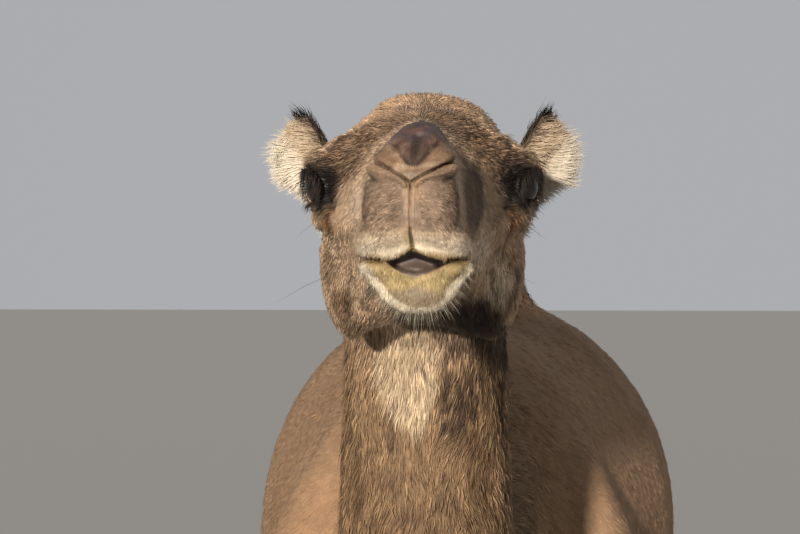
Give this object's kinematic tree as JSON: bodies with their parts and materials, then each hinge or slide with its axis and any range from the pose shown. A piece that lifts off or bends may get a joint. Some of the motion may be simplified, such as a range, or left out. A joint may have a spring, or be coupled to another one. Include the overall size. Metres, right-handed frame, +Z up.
{
  "type": "dromedary camel model",
  "caption": "Life-size standing dromedary, a still model: long-lipped head held level on a deeply curved neck, one narrow hump, slender legs on broad padded feet, thin tufted tail.",
  "frame": {"origin": "on the floor, midway between the tip of the nose and the tail, and midway across the widest part of the body", "axes": "+Z up, the camel faces -Y, its left side is at +X"},
  "size_m": [0.667, 2.644, 2.0319],
  "materials": {
    "head_coat": "short mid-brown hair, darker over the eyes, bare purple-grey hide on the nose",
    "lip_coat": "cream and yellow short hair over a grey bare chin",
    "ear_hair": "long pale hair inside, short brown hair outside, dark rim",
    "eye": "wet and dark",
    "neck_coat": "shaggy tan and brown wool, paler on the throat",
    "body_coat": "short sandy-brown coat",
    "hump_coat": "longer woolly hair",
    "tail_coat": "short hair with a long dark tuft",
    "leg_coat": "short sandy coat with bare grey pads on the knees",
    "nail": "dull dark horn"
  },
  "bodies": {
    "root": {"head": "head_coat", "jaw": "lip_coat", "ear_left": "ear_hair", "ear_right": "ear_hair", "eye_left": "eye", "eye_right": "eye", "neck_upper": "neck_coat", "neck_lower": "neck_coat", "trunk": "body_coat", "hump": "hump_coat", "tail": "tail_coat", "foreleg_left_upper": "leg_coat", "foreleg_left_lower": "leg_coat", "foreleg_left_foot": "leg_coat", "foreleg_right_upper": "leg_coat", "foreleg_right_lower": "leg_coat", "foreleg_right_foot": "leg_coat", "hindleg_left_upper": "leg_coat", "hindleg_left_lower": "leg_coat", "hindleg_left_foot": "leg_coat", "hindleg_right_upper": "leg_coat", "hindleg_right_lower": "leg_coat", "hindleg_right_foot": "leg_coat", "nail_foreleg_left_a": "nail", "nail_foreleg_left_b": "nail", "nail_foreleg_right_a": "nail", "nail_foreleg_right_b": "nail", "nail_hindleg_left_a": "nail", "nail_hindleg_left_b": "nail", "nail_hindleg_right_a": "nail", "nail_hindleg_right_b": "nail"}
  },
  "joints": []
}
